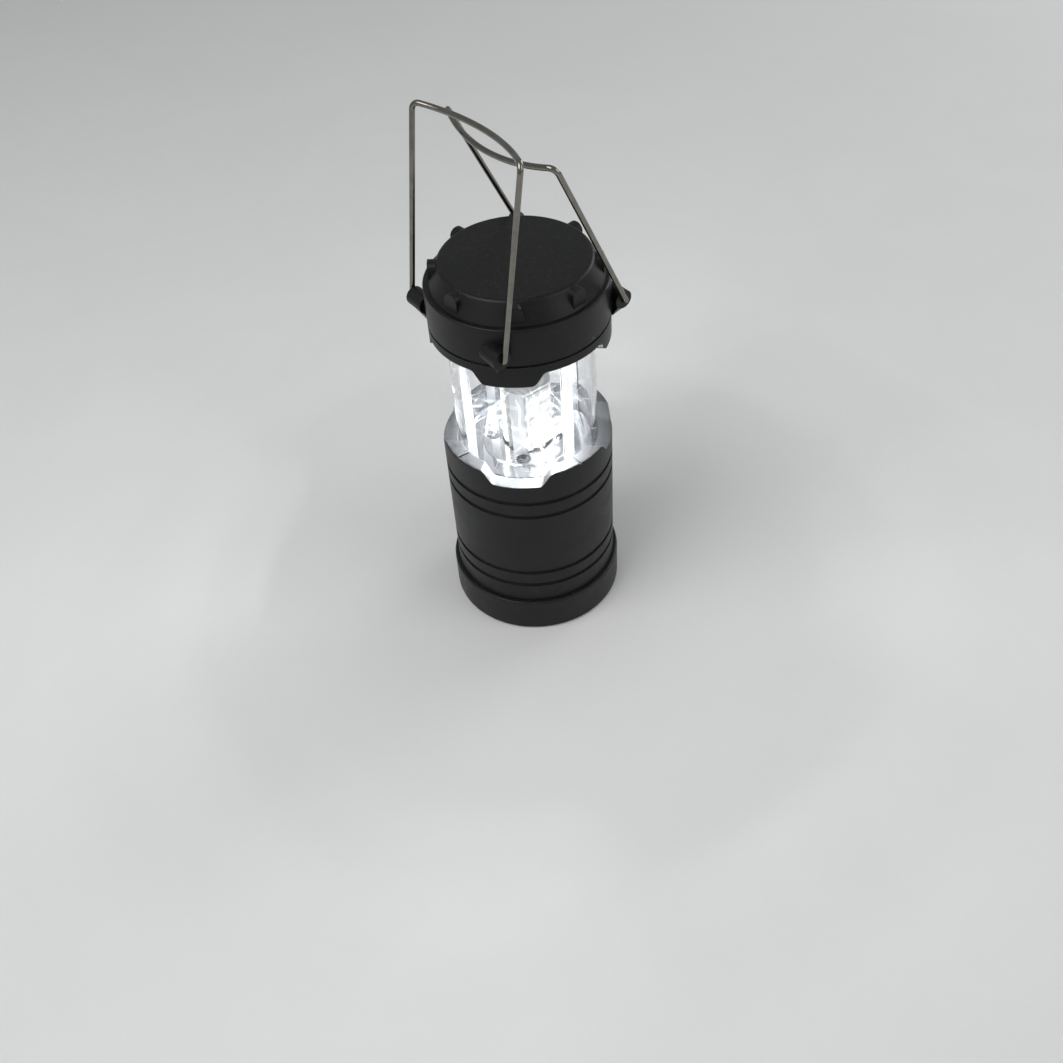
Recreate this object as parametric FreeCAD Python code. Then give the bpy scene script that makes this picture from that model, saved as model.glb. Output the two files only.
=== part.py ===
"""Collapsible camping lantern, standing extended.

Millimetres, +Z up. The origin is the middle of the face it stands on.
+X runs along the bail pivots, so the four ears lie on the diagonals.
"""
import FreeCAD, Part
import math
import os

# Body and stroke
body_radius = 40.0
foot_lip = 2.1
foot_height = 19.0
rim_height = 101.6
travel = 56.7
seam_gap = 0.5
skirt_height = 22.5
crown_height = 9.5

# Base sleeve
sleeve_wall = 3.8
rim_band = 7.0
rim_flat = 1.2
rim_chamfer = 0.5
rim_fall = 0.4
rim_mark_width = 0.8
rim_mark_depth = 0.7
collar_height = 15.4
spigot_step = 1.8
foot_seam = 0.4
groove_depth = 0.9
groove_width = 2.6
rim_to_upper_groove = 16.3
upper_groove_pitch = 8.5
foot_to_lower_groove = 11.6
lower_groove_pitch = 8.6
inner_ledge_height = 3.0
inner_ledge_width = 3.2

# Castellations, measured along the tangent
lobe_count = 4
ear_position = 45.0
notch_depth = 6.2
notch_half_top = 15.6
notch_half_bottom = 11.6
notch_corner = 3.0
notch_root = 2.5
notch_shoulder = 2.0
lobe_side_clearance = 0.3

# Bottom cap and bayonet
cap_floor = 2.4
cap_standoff = 0.6
cap_bore_clearance = 0.4
cap_chamfer = 0.9
lug_count = 3
lug_position = 90.0
lug_depth = 1.0
lug_height = 3.0
lug_lift = 7.5
lug_angle = 14.0
lug_clearance = 0.4
lug_side_angle = 1.5
cap_turn = 30.0
cap_post_radius = 17.0
pad_thickness = 3.0
pad_clearance = 0.3
gasket_thickness = 1.5
gasket_width = 2.6
gasket_clearance = 0.3
foot_pad_width = 5.0
foot_pad_inset = 5.0
foot_pad_thickness = 1.6

# Globe and its guide
globe_wall = 2.2
globe_clearance = 0.4
globe_flange_thickness = 2.2
rib_count = 4
rib_depth = 1.2
rib_width = 5.0
retainer_height = 3.0
retainer_clearance = 0.4
retainer_fit = 0.06
slide_clearance = 0.6
end_clearance = 0.6
seal_height = 2.2
seal_depth = 1.4
seal_clearance = 0.2
seal_lift = 4.0

# Inner core, boards and batteries
core_wall = 2.2
core_clearance = 1.0
core_flange_thickness = 3.5
core_flange_fit = 0.2
core_plate = 2.0
plate_drop = 9.8
boss_radius = 3.2
boss_height = 5.0
screw_circle = 16.5
circuit_thickness = 1.6
circuit_clearance = 1.0
terminal_length = 3.0
terminal_radius = 1.6
terminal_spacing = 16.0
carrier_clearance = 0.4
carrier_end = 2.5
carrier_lip = 3.9
spine_radius = 4.0
fin_thickness = 2.0
cell_count = 3
cell_position = 90.0
cell_radius = 7.1
cell_can_length = 49.2
cell_nub_length = 1.3
cell_nub_radius = 2.75
cell_spring_height = 2.0
cell_spring_length = 9.0
cell_spring_crest = 3.0
cell_spring_width = 5.0
cell_spring_strip = 0.5
cell_contact_radius = 4.0
cell_contact_thickness = 1.2
rail_thickness = 0.5
rail_position = 135.0
rail_angle = 8.0
wiper_gap = 0.4
wiper_height = 6.0
wiper_fit = 0.05

# LED tower and reflectors
tower_apothem = 8.0
tower_corner_radius = 11.8
tower_clearance = 2.5
tower_cap_thickness = 1.4
board_count = 3
board_width = 13.0
board_thickness = 1.6
board_margin = 0.6
chip_rows = 5
chip_columns = 2
chip_width = 3.6
chip_height = 3.0
chip_depth = 0.9
chip_column_pitch = 6.0
reflector_thickness = 1.2
reflector_flat = 20.4
reflector_rise = 1.0
reflector_lip_width = 1.0
reflector_lip_height = 0.8
reflector_hole_clearance = 0.4
reflector_edge_clearance = 0.5
reflector_well_clearance = 1.0
upper_cone_top = 17.0
upper_cone_inset = 0.6
reflector_gap = 0.8

# Head ring, crown and ears
skirt_wall = 3.2
skirt_round = 0.8
skirt_groove_lift = 4.5
skirt_groove_width = 1.2
skirt_groove_depth = 0.8
shelf_lift = 3.0
shelf_thickness = 3.0
head_fit = 0.3
ledge_width = 2.2
crown_draft = 5.0
crown_round = 1.8
crown_wall = 2.5
spigot_wall = 2.4
nub_count = 8
nub_position = 7.0
nub_width = 7.2
nub_round = 3.2
nub_top_drop = 0.6
nub_setback = 0.8
ear_angle = 53.8
ear_lift = 11.5
ear_radius = 4.2
ear_reach = 8.2
gusset_lift = 1.0
gusset_inset = 1.4
gusset_tip = 3.0

# Wire bails
wire_diameter = 2.4
pivot_fit = 0.06
ear_gap = 0.3
pin_length = 6.0
pin_bend = 1.4
leg_length = 82.8
leg_flare = 1.0
bow_bend = 3.2
bow_angle = 23.0
front_lean = 9.2
rear_lean = 25.7

# Screws
screw_count = 4
screw_radius = 1.25
screw_head_radius = 2.4
screw_head_height = 1.6
screw_bite = 6.0
small_screw_radius = 0.8
small_head_radius = 1.4
small_head_height = 1.1
small_screw_bite = 2.2
screw_fit = 0.05
drive_width = 0.8
drive_depth = 0.9
drive_inset = 0.6

ORIGIN = FreeCAD.Vector(0, 0, 0)
X_AXIS = FreeCAD.Vector(1, 0, 0)
Z_AXIS = FreeCAD.Vector(0, 0, 1)
overlap = 0.5

# Heights worked out from the sizes above
skirt_bottom = rim_height + seam_gap + travel
ledge_level = skirt_bottom + skirt_height
top_level = ledge_level + crown_height
shelf_bottom = skirt_bottom + shelf_lift
shelf_top = shelf_bottom + shelf_thickness
globe_top = shelf_top + globe_flange_thickness
pivot_level = skirt_bottom + ear_lift
notch_bottom = rim_height - notch_depth
collar_top = rim_height - rim_fall
collar_bottom = collar_top - collar_height
seal_level = collar_bottom + seal_lift
globe_bottom = collar_bottom - retainer_clearance - retainer_height
inner_ledge_top = globe_bottom - travel - end_clearance
inner_ledge_bottom = inner_ledge_top - inner_ledge_height
core_flange_bottom = inner_ledge_bottom - core_flange_thickness
plate_top = rim_height - plate_drop
plate_bottom = plate_top - core_plate
circuit_top = plate_bottom - boss_height
circuit_bottom = circuit_top - circuit_thickness
carrier_top = circuit_bottom - terminal_length
cell_top = carrier_top - carrier_end - cell_contact_thickness
cell_bottom = cell_top - cell_can_length - cell_nub_length
carrier_bottom = cell_bottom - cell_spring_height - carrier_end
cap_floor_top = cap_standoff + cap_floor
spigot_bottom = cap_floor_top + gasket_thickness + gasket_clearance
crown_ceiling = top_level - crown_wall
upper_reflector_top = crown_ceiling - reflector_gap
tower_top = upper_reflector_top - reflector_thickness - travel - tower_clearance
tower_body_top = tower_top - tower_cap_thickness

# Radii worked out from the sizes above
sleeve_inner = body_radius - sleeve_wall
spigot_radius = body_radius - spigot_step
cap_bore = spigot_radius + cap_bore_clearance
foot_radius = body_radius + foot_lip
globe_radius = body_radius - rim_band
globe_inner = globe_radius - globe_wall
collar_bore = globe_radius + globe_clearance
core_radius = globe_inner - rib_depth - core_clearance
core_inner = core_radius - core_wall
carrier_radius = core_inner - carrier_clearance
cell_circle = carrier_radius - carrier_lip - cell_radius
skirt_inner = body_radius - skirt_wall
globe_flange_radius = skirt_inner - head_fit
head_screw_circle = (collar_bore + skirt_inner) / 2
core_screw_circle = sleeve_inner - inner_ledge_width / 2
wire_radius = wire_diameter / 2
pivot_offset = body_radius * math.sin(math.radians(ear_angle))
ear_end = body_radius * math.cos(math.radians(ear_angle)) + ear_reach
leg_offset = ear_end + ear_gap + pin_bend


def bend(corner, before, after, radius):
    """Entry, middle and exit points of the arc that rounds a corner between two directions away from it."""
    half = before.getAngle(after) / 2
    reach = radius / math.tan(half)
    inwards = (before + after).normalize() * (radius / math.sin(half) - radius)
    return corner + before * reach, corner + inwards, corner + after * reach


def rounded_wire(corners):
    """Closed flat wire through (point, radius) corners, each rounded by its own radius."""
    bends = []
    edges = []
    for index, (corner, radius) in enumerate(corners):
        before = (corners[index - 1][0] - corner).normalize()
        after = (corners[(index + 1) % len(corners)][0] - corner).normalize()
        bends.append(bend(corner, before, after, radius))
        if radius > 0:
            edges.append(Part.Arc(*bends[-1]).toShape())
    for index, (entry, middle, start) in enumerate(bends):
        finish = bends[(index + 1) % len(bends)][0]
        edges.append(Part.LineSegment(start, finish).toShape())
    return Part.Wire(Part.__sortEdges__(edges))


def revolved(outline):
    """Full turn about Z of a closed outline of (radius, height) or (radius, height, rounding) corners."""
    corners = [(FreeCAD.Vector(c[0], 0, c[1]), c[2] if len(c) > 2 else 0) for c in outline]
    return Part.Face(rounded_wire(corners)).revolve(ORIGIN, Z_AXIS, 360)


def ring(inner, outer, bottom, top):
    """Plain ring about Z."""
    return disc(outer, bottom, top).cut(disc(inner, bottom, top))


def disc(radius, bottom, top, x=0, y=0):
    """Upright cylinder with its axis at (x, y)."""
    return Part.makeCylinder(radius, top - bottom, FreeCAD.Vector(x, y, bottom))


def sector(inner, outer, bottom, top, middle, width):
    """Part of a ring, width degrees wide about the middle angle."""
    base = FreeCAD.Vector(0, 0, bottom)
    wedge = Part.makeCylinder(outer, top - bottom, base, Z_AXIS, width)
    wedge = wedge.cut(disc(inner, bottom, top))
    wedge.rotate(ORIGIN, Z_AXIS, middle - width / 2)
    return wedge


def radial_block(inner, outer, half_width, bottom, top, angle):
    """Upright block that runs outwards along one angle."""
    corner = FreeCAD.Vector(inner, -half_width, bottom)
    block = Part.makeBox(outer - inner, 2 * half_width, top - bottom, corner)
    block.rotate(ORIGIN, Z_AXIS, angle)
    return block


def radial_prism(corners, inner, outer, angle):
    """Prism along one angle, from (across, height, rounding) corners."""
    points = [(FreeCAD.Vector(inner, c[0], c[1]), c[2]) for c in corners]
    prism = Part.Face(rounded_wire(points)).extrude(X_AXIS * (outer - inner))
    prism.rotate(ORIGIN, Z_AXIS, angle)
    return prism


def even_angles(count, first):
    """Angles evenly spaced round the axis."""
    return [first + 360 * index / count for index in range(count)]


def on_circle(radius, count, first):
    """Points (x, y) evenly spaced on a circle about the axis."""
    spots = [math.radians(angle) for angle in even_angles(count, first)]
    return [(radius * math.cos(spot), radius * math.sin(spot)) for spot in spots]


def joined(shapes):
    """One solid from touching shapes."""
    return shapes[0].multiFuse(shapes[1:]).removeSplitter()


def save(name, shape):
    """Write one node, a solid or a group of separate solids."""
    shape.exportStep(os.path.join("parts", name + ".step"))
    print(name, len(shape.Solids), "solids", round(shape.Volume, 1), "mm3", shape.isValid())


def drive(head_radius, bottom, top, x, y):
    """Cross that is cut into a screw head."""
    long = head_radius - drive_inset
    short = drive_width / 2
    arms = [Part.makeBox(2 * a, 2 * b, top - bottom, FreeCAD.Vector(x - a, y - b, bottom))
            for a, b in ((long, short), (short, long))]
    return arms[0].fuse(arms[1])


def screws_up(spots, seat, radius, head_radius, head_height, length):
    """Screws whose heads hang below the seat and whose shanks point up."""
    screws = []
    face = seat - head_height
    for x, y in spots:
        head = disc(head_radius, face, seat, x, y)
        screw = joined([head, disc(radius, seat - head_height / 2, seat + length, x, y)])
        screws.append(screw.cut(drive(head_radius, face, face + drive_depth, x, y)))
    return screws


def screws_down(spots, seat, radius, head_radius, head_height, length):
    """Screws whose heads stand on the seat and whose shanks point down."""
    screws = []
    face = seat + head_height
    for x, y in spots:
        head = disc(head_radius, seat, face, x, y)
        screw = joined([head, disc(radius, seat - length, seat + head_height / 2, x, y)])
        screws.append(screw.cut(drive(head_radius, face - drive_depth, face, x, y)))
    return screws


def bored(shape, spots, radius, bottom, top):
    """Shape with upright holes through it."""
    return shape.cut(Part.makeCompound([disc(radius, bottom, top, x, y) for x, y in spots]))


reflector_spots = on_circle(screw_circle, screw_count, ear_position)
core_spots = on_circle(core_screw_circle, screw_count, 0)
head_spots = on_circle(head_screw_circle, screw_count, 0)


def castellation(half_top, half_bottom, top, bottom, angle):
    """Rounded trapezoid block from the axis outwards, which flares into shoulders at its top."""
    far = half_top + notch_shoulder
    corners = [(-far, top + overlap, 0), (-far, top, 0), (-half_top, top, notch_root),
               (-half_bottom, bottom, notch_corner), (half_bottom, bottom, notch_corner),
               (half_top, top, notch_root), (far, top, 0), (far, top + overlap, 0)]
    return radial_prism(corners, 0, foot_radius, angle)


def base_sleeve():
    """Outer sleeve of the base, with castellated rim, grooves and bayonet lugs."""
    ledge_inner = sleeve_inner - inner_ledge_width
    sleeve = revolved([
        (spigot_radius, spigot_bottom), (spigot_radius, foot_height + foot_seam),
        (body_radius, foot_height + foot_seam), (body_radius, rim_height, rim_chamfer),
        (body_radius - rim_flat, rim_height), (collar_bore, collar_top),
        (collar_bore, collar_bottom), (sleeve_inner, collar_bottom),
        (sleeve_inner, inner_ledge_top), (ledge_inner, inner_ledge_top),
        (ledge_inner, inner_ledge_bottom), (sleeve_inner, inner_ledge_bottom),
        (sleeve_inner, spigot_bottom)])
    upper = rim_height - rim_to_upper_groove
    lower = foot_height + foot_to_lower_groove
    for middle in (upper, upper - upper_groove_pitch, lower, lower + lower_groove_pitch):
        sleeve = sleeve.cut(ring(body_radius - groove_depth, body_radius + overlap,
                                 middle - groove_width / 2, middle + groove_width / 2))
    for angle in even_angles(lobe_count, ear_position):
        notch = castellation(notch_half_top, notch_half_bottom, rim_height, notch_bottom, angle)
        sleeve = sleeve.cut(notch)
    for angle in even_angles(lobe_count, ear_position + 180 / lobe_count):
        mark = radial_block(globe_radius, foot_radius, rim_mark_width / 2,
                            rim_height - rim_mark_depth, rim_height + overlap, angle)
        sleeve = sleeve.cut(mark)
    sleeve = sleeve.cut(ring(collar_bore - overlap, collar_bore + seal_depth,
                             seal_level - seal_height / 2, seal_level + seal_height / 2))
    lug_bottom = cap_floor_top + lug_lift
    lug_top = lug_bottom + lug_height
    lugs = [sector(sleeve_inner, spigot_radius + lug_depth, lug_bottom, lug_top, angle, lug_angle)
            for angle in even_angles(lug_count, lug_position)]
    sleeve = joined([sleeve] + lugs)
    hole = small_screw_radius + screw_fit
    return bored(sleeve, core_spots, hole, inner_ledge_bottom, inner_ledge_bottom + small_screw_bite)


def globe_seal():
    """Ring in the collar that steadies the globe."""
    return ring(globe_radius + seal_clearance, collar_bore + seal_depth - screw_fit,
                seal_level - seal_height / 2, seal_level + seal_height / 2)


def inner_core():
    """Battery tube with the plate that carries the tower and the flange that holds it in the sleeve."""
    core = revolved([
        (core_inner, core_flange_bottom), (sleeve_inner - core_flange_fit, core_flange_bottom),
        (sleeve_inner - core_flange_fit, inner_ledge_bottom), (core_radius, inner_ledge_bottom),
        (core_radius, plate_top), (0, plate_top), (0, plate_bottom), (core_inner, plate_bottom)])
    bosses = [disc(boss_radius, circuit_top, plate_bottom + overlap, x, y) for x, y in reflector_spots]
    core = joined([core] + bosses)
    core = bored(core, reflector_spots, screw_radius + screw_fit, circuit_top, plate_top)
    core = bored(core, [(0, 0)], screw_radius + screw_fit, plate_bottom, plate_top)
    return bored(core, core_spots, small_screw_radius + screw_fit, core_flange_bottom, inner_ledge_bottom)


def core_screws():
    """Screws through the core flange into the sleeve ledge."""
    length = core_flange_thickness + small_screw_bite
    return Part.makeCompound(screws_up(core_spots, core_flange_bottom, small_screw_radius,
                                       small_head_radius, small_head_height, length))


def circuit_board():
    """Round board under the core plate."""
    board = disc(core_inner - circuit_clearance, circuit_bottom, circuit_top)
    return bored(board, reflector_spots, screw_radius + screw_fit, circuit_bottom, circuit_top)


def board_screws():
    """Short screws from below, through the board into the bosses."""
    length = circuit_thickness + boss_height / 2
    return Part.makeCompound(screws_up(reflector_spots, circuit_bottom, screw_radius,
                                       screw_head_radius, screw_head_height, length))


def reflector_screws():
    """Screws from above, in the wells of the reflector and through the plate into the bosses."""
    length = core_plate + boss_height / 2 - overlap
    return Part.makeCompound(screws_down(reflector_spots, plate_top, screw_radius,
                                         screw_head_radius, screw_head_height, length))


def battery_terminals():
    """Two pins between the carrier and the board."""
    half = terminal_spacing / 2
    return Part.makeCompound([disc(terminal_radius, carrier_top, circuit_bottom, x) for x in (-half, half)])


def battery_carrier():
    """Two end plates on a spine with fins between the cells."""
    ends = [disc(carrier_radius, carrier_bottom, carrier_bottom + carrier_end),
            disc(carrier_radius, carrier_top - carrier_end, carrier_top)]
    spine = disc(spine_radius, carrier_bottom, carrier_top)
    reach = carrier_radius - fin_thickness
    fins = [radial_block(0, reach, fin_thickness / 2, carrier_bottom, carrier_top, angle)
            for angle in even_angles(cell_count, cell_position + 180 / cell_count)]
    return joined(ends + [spine] + fins)


def battery(x, y):
    """One AA cell, positive end up."""
    can_top = cell_bottom + cell_can_length
    can = disc(cell_radius, cell_bottom, can_top, x, y)
    return joined([can, disc(cell_nub_radius, can_top, cell_top, x, y)])


def cell_springs():
    """Bent strip under each cell."""
    half = cell_spring_length / 2
    crest = cell_spring_crest / 2
    profile = [(-half, 0), (-crest, cell_spring_height), (crest, cell_spring_height), (half, 0),
               (half - cell_spring_strip, 0), (crest, cell_spring_height - cell_spring_strip),
               (-crest, cell_spring_height - cell_spring_strip), (cell_spring_strip - half, 0)]
    floor = carrier_bottom + carrier_end
    strips = []
    for x, y in on_circle(cell_circle, cell_count, cell_position):
        points = [FreeCAD.Vector(x + across, y - cell_spring_width / 2, floor + up) for across, up in profile]
        outline = Part.Face(Part.makePolygon(points + points[:1]))
        strips.append(outline.extrude(FreeCAD.Vector(0, cell_spring_width, 0)))
    return Part.makeCompound(strips)


def cell_contacts():
    """Plate above each cell."""
    spots = on_circle(cell_circle, cell_count, cell_position)
    return Part.makeCompound([disc(cell_contact_radius, cell_top, cell_top + cell_contact_thickness, x, y)
                              for x, y in spots])


def contact_rail():
    """Switch rail up the outside of the core."""
    outer = core_radius + rail_thickness
    return sector(core_radius, outer, inner_ledge_bottom, plate_top, rail_position, rail_angle)


def wiper_contact():
    """Leaf on the globe that leaves the rail when the head comes down."""
    inner = core_radius + rail_thickness + wiper_gap
    top = globe_bottom + wiper_height
    return sector(inner, globe_inner - wiper_fit, globe_bottom, top, rail_position, rail_angle)


def lower_reflector():
    """Shallow dish with a lip round its flat, a well round each screw head and a slot for each globe rib."""
    hole = tower_corner_radius + reflector_hole_clearance
    outer = globe_inner - reflector_edge_clearance
    face = plate_top + reflector_thickness
    dish = revolved([
        (hole, plate_top), (reflector_flat, plate_top), (outer, plate_top + reflector_rise),
        (outer, face + reflector_rise), (reflector_flat, face), (hole, face)])
    lip = ring(reflector_flat, reflector_flat + reflector_lip_width, plate_top, face + reflector_lip_height)
    dish = dish.fuse(lip)
    for angle in even_angles(rib_count, 0):
        dish = dish.cut(radial_block(outer - rib_depth, globe_inner, rib_width / 2 + reflector_edge_clearance,
                                     plate_top, face + reflector_rise, angle))
    well = screw_head_radius + reflector_well_clearance
    return bored(dish, reflector_spots, well, plate_top, face)


def blunt_post(apothem, bottom, top):
    """Upright post with one face for each LED board and blunt corners."""
    spots = on_circle(apothem / math.cos(math.pi / board_count), board_count, 180 / board_count)
    corners = [FreeCAD.Vector(x, y, bottom) for x, y in spots]
    prism = Part.Face(Part.makePolygon(corners + corners[:1])).extrude(Z_AXIS * (top - bottom))
    return prism.common(disc(tower_corner_radius, bottom, top))


def led_tower():
    """Post that carries the LED boards."""
    tower = blunt_post(tower_apothem, plate_top, tower_body_top)
    return bored(tower, [(0, 0)], screw_radius + screw_fit, plate_top, plate_top + screw_bite + overlap)


def tower_screw():
    """Screw from below the plate into the tower."""
    return screws_up([(0, 0)], plate_bottom, screw_radius, screw_head_radius, screw_head_height,
                     core_plate + screw_bite)[0]


def tower_cap():
    """Cap on the tower, flush with the faces of the boards."""
    return blunt_post(tower_apothem + board_thickness, tower_body_top, tower_top)


def led_board(angle):
    """One LED board on a face of the tower."""
    return radial_block(tower_apothem, tower_apothem + board_thickness, board_width / 2,
                        plate_top + reflector_thickness + board_margin, tower_body_top - board_margin, angle)


def led_chips(angle):
    """Rows of LED chips on one board."""
    face = tower_apothem + board_thickness
    lowest = plate_top + reflector_thickness + board_margin
    pitch = (tower_body_top - board_margin - lowest) / chip_rows
    chips = []
    for row in range(chip_rows):
        middle = lowest + (row + 0.5) * pitch
        for column in range(chip_columns):
            across = (column - (chip_columns - 1) / 2) * chip_column_pitch
            corner = FreeCAD.Vector(face, across - chip_width / 2, middle - chip_height / 2)
            chips.append(Part.makeBox(chip_depth, chip_width, chip_height, corner))
    group = Part.makeCompound(chips)
    group.rotate(ORIGIN, Z_AXIS, angle)
    return group


def bottom_cap():
    """Wide foot ring that closes the battery space and locks on the bayonet lugs."""
    post_top = carrier_bottom - pad_clearance - pad_thickness
    cap = revolved([
        (0, cap_standoff), (foot_radius, cap_standoff, cap_chamfer), (foot_radius, foot_height, cap_chamfer),
        (cap_bore, foot_height), (cap_bore, cap_floor_top), (cap_post_radius, cap_floor_top),
        (cap_post_radius, post_top), (0, post_top)])
    pad_outer = foot_radius - foot_pad_inset
    cap = cap.cut(ring(pad_outer - foot_pad_width - screw_fit, pad_outer + screw_fit,
                       cap_standoff - overlap, foot_pad_thickness))
    slot_outer = spigot_radius + lug_depth + lug_clearance
    slot_bottom = cap_floor_top + lug_lift - lug_clearance
    slot_top = slot_bottom + lug_height + 2 * lug_clearance
    slot_width = lug_angle + 2 * lug_side_angle
    slot_inner = cap_bore - overlap
    for angle in even_angles(lug_count, lug_position):
        middle = angle - cap_turn / 2
        run = sector(slot_inner, slot_outer, slot_bottom, slot_top, middle, slot_width + cap_turn)
        entry_top = foot_height + overlap
        entry = sector(slot_inner, slot_outer, slot_bottom, entry_top, angle - cap_turn, slot_width)
        cap = cap.cut(run.fuse(entry))
    return cap


def foot_pad():
    """Rubber ring that the lantern stands on."""
    outer = foot_radius - foot_pad_inset
    return ring(outer - foot_pad_width, outer, 0, foot_pad_thickness)


def cap_gasket():
    """Flat seal under the sleeve."""
    outer = cap_bore - screw_fit
    return ring(outer - gasket_width, outer, cap_floor_top, cap_floor_top + gasket_thickness)


def battery_pad():
    """Foam disc that holds the carrier up."""
    top = carrier_bottom - pad_clearance
    return disc(cap_post_radius, top - pad_thickness, top)


def globe():
    """Clear tube with ribs inside and a flange at the top."""
    tube = revolved([
        (globe_inner, globe_bottom), (globe_radius, globe_bottom), (globe_radius, shelf_top),
        (globe_flange_radius, shelf_top), (globe_flange_radius, globe_top), (globe_inner, globe_top)])
    ribs = [radial_block(globe_inner - rib_depth, globe_inner + overlap, rib_width / 2,
                         globe_bottom, globe_top, angle) for angle in even_angles(rib_count, 0)]
    return bored(joined([tube] + ribs), head_spots, small_screw_radius + screw_fit, shelf_top, globe_top)


def globe_retainer():
    """Ring round the foot of the globe that stops under the collar."""
    return ring(globe_radius + retainer_fit, sleeve_inner - slide_clearance,
                globe_bottom, globe_bottom + retainer_height)


def ear(side_x, side_y):
    """Ear for one bail end, with a gusset below."""
    y = side_y * pivot_offset
    root = skirt_inner * math.cos(math.radians(ear_angle))
    boss = Part.makeCylinder(ear_radius, ear_end - root, FreeCAD.Vector(root, y, pivot_level), X_AXIS)
    low = skirt_bottom + gusset_lift
    outline = [(root, low), (root + ear_radius, low), (ear_end, pivot_level - gusset_tip),
               (ear_end, pivot_level), (root, pivot_level)]
    side = [FreeCAD.Vector(x, y - ear_radius, z) for x, z in outline]
    slanted = Part.Face(Part.makePolygon(side + side[:1])).extrude(FreeCAD.Vector(0, 2 * ear_radius, 0))
    tip = y - side_y * gusset_inset
    front = [FreeCAD.Vector(root, y - ear_radius, pivot_level), FreeCAD.Vector(root, tip, low),
             FreeCAD.Vector(root, y + ear_radius, pivot_level)]
    tapered = Part.Face(Part.makePolygon(front + front[:1])).extrude(X_AXIS * (ear_end - root))
    shape = boss.fuse(slanted.common(tapered))
    return shape if side_x > 0 else shape.mirror(ORIGIN, X_AXIS)


def head_ring():
    """Skirt band with groove, lobes, ears and the shelf that carries the globe."""
    band = revolved([
        (skirt_inner, skirt_bottom), (body_radius, skirt_bottom),
        (body_radius, ledge_level, skirt_round), (skirt_inner, ledge_level), (skirt_inner, shelf_top),
        (collar_bore, shelf_top), (collar_bore, shelf_bottom), (skirt_inner, shelf_bottom)])
    lobes = []
    lobe_bottom = skirt_bottom - notch_depth
    half_top = notch_half_top - lobe_side_clearance
    half_bottom = notch_half_bottom - lobe_side_clearance
    for angle in even_angles(lobe_count, ear_position):
        block = castellation(half_top, half_bottom, skirt_bottom, lobe_bottom, angle)
        lobes.append(block.common(ring(skirt_inner, body_radius, lobe_bottom, ledge_level)))
    shell = joined([band] + lobes)
    middle = skirt_bottom + skirt_groove_lift
    shell = shell.cut(ring(body_radius - skirt_groove_depth, body_radius + overlap,
                           middle - skirt_groove_width / 2, middle + skirt_groove_width / 2))
    hollow = disc(skirt_inner, shelf_top, ledge_level).fuse(disc(skirt_inner, skirt_bottom, shelf_bottom))
    ears = [ear(x, y).cut(hollow) for x in (-1, 1) for y in (-1, 1)]
    shell = joined([shell] + ears)
    for side in (-1, 1):
        for y in (-pivot_offset, pivot_offset):
            start = FreeCAD.Vector(side * (ear_end - pin_length - ear_gap), y, pivot_level)
            bore = Part.makeCylinder(wire_radius + pivot_fit, pin_length + 2 * ear_gap, start, X_AXIS * side)
            shell = shell.cut(bore)
    return bored(shell, head_spots, small_screw_radius + screw_fit, shelf_bottom, shelf_top)


def top_cap():
    """Crown with nubs round its edge and a spigot inside the head ring."""
    base = body_radius - ledge_width
    spigot = skirt_inner - head_fit
    spigot_low = globe_top + reflector_thickness + head_fit
    inner_top = base - crown_draft - crown_wall
    crown = revolved([
        (spigot, spigot_low), (spigot, ledge_level), (base, ledge_level),
        (base - crown_draft, top_level, crown_round), (0, top_level), (0, crown_ceiling),
        (inner_top, crown_ceiling), (spigot - spigot_wall, ledge_level), (spigot - spigot_wall, spigot_low)])
    half = nub_width / 2
    nub_top = top_level - nub_top_drop
    corners = [(-half, ledge_level, 0), (half, ledge_level, 0),
               (half, nub_top, nub_round), (-half, nub_top, nub_round)]
    nubs = [radial_prism(corners, inner_top + overlap, base - nub_setback, angle)
            for angle in even_angles(nub_count, nub_position)]
    hole_top = spigot_low + small_screw_bite + overlap
    return bored(joined([crown] + nubs), head_spots, small_screw_radius + screw_fit, spigot_low, hole_top)


def upper_reflector():
    """Cone in the head, closed above, that the tower enters when the head comes down."""
    wide = globe_inner - upper_cone_inset
    flange = skirt_inner - head_fit
    flange_top = globe_top + reflector_thickness
    top = upper_reflector_top
    cone = revolved([
        (flange, globe_top), (flange, flange_top), (wide, flange_top),
        (upper_cone_top, top), (0, top), (0, top - reflector_thickness),
        (upper_cone_top - reflector_thickness, top - reflector_thickness),
        (wide - reflector_thickness, globe_top)])
    return bored(cone, head_spots, small_screw_radius + screw_fit, globe_top, flange_top)


def cap_screws():
    """Screws up through the shelf, the globe flange and the reflector into the crown."""
    length = shelf_thickness + globe_flange_thickness + reflector_thickness + head_fit + small_screw_bite
    return Part.makeCompound(screws_up(head_spots, shelf_bottom, small_screw_radius,
                                       small_head_radius, small_head_height, length))


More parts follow.
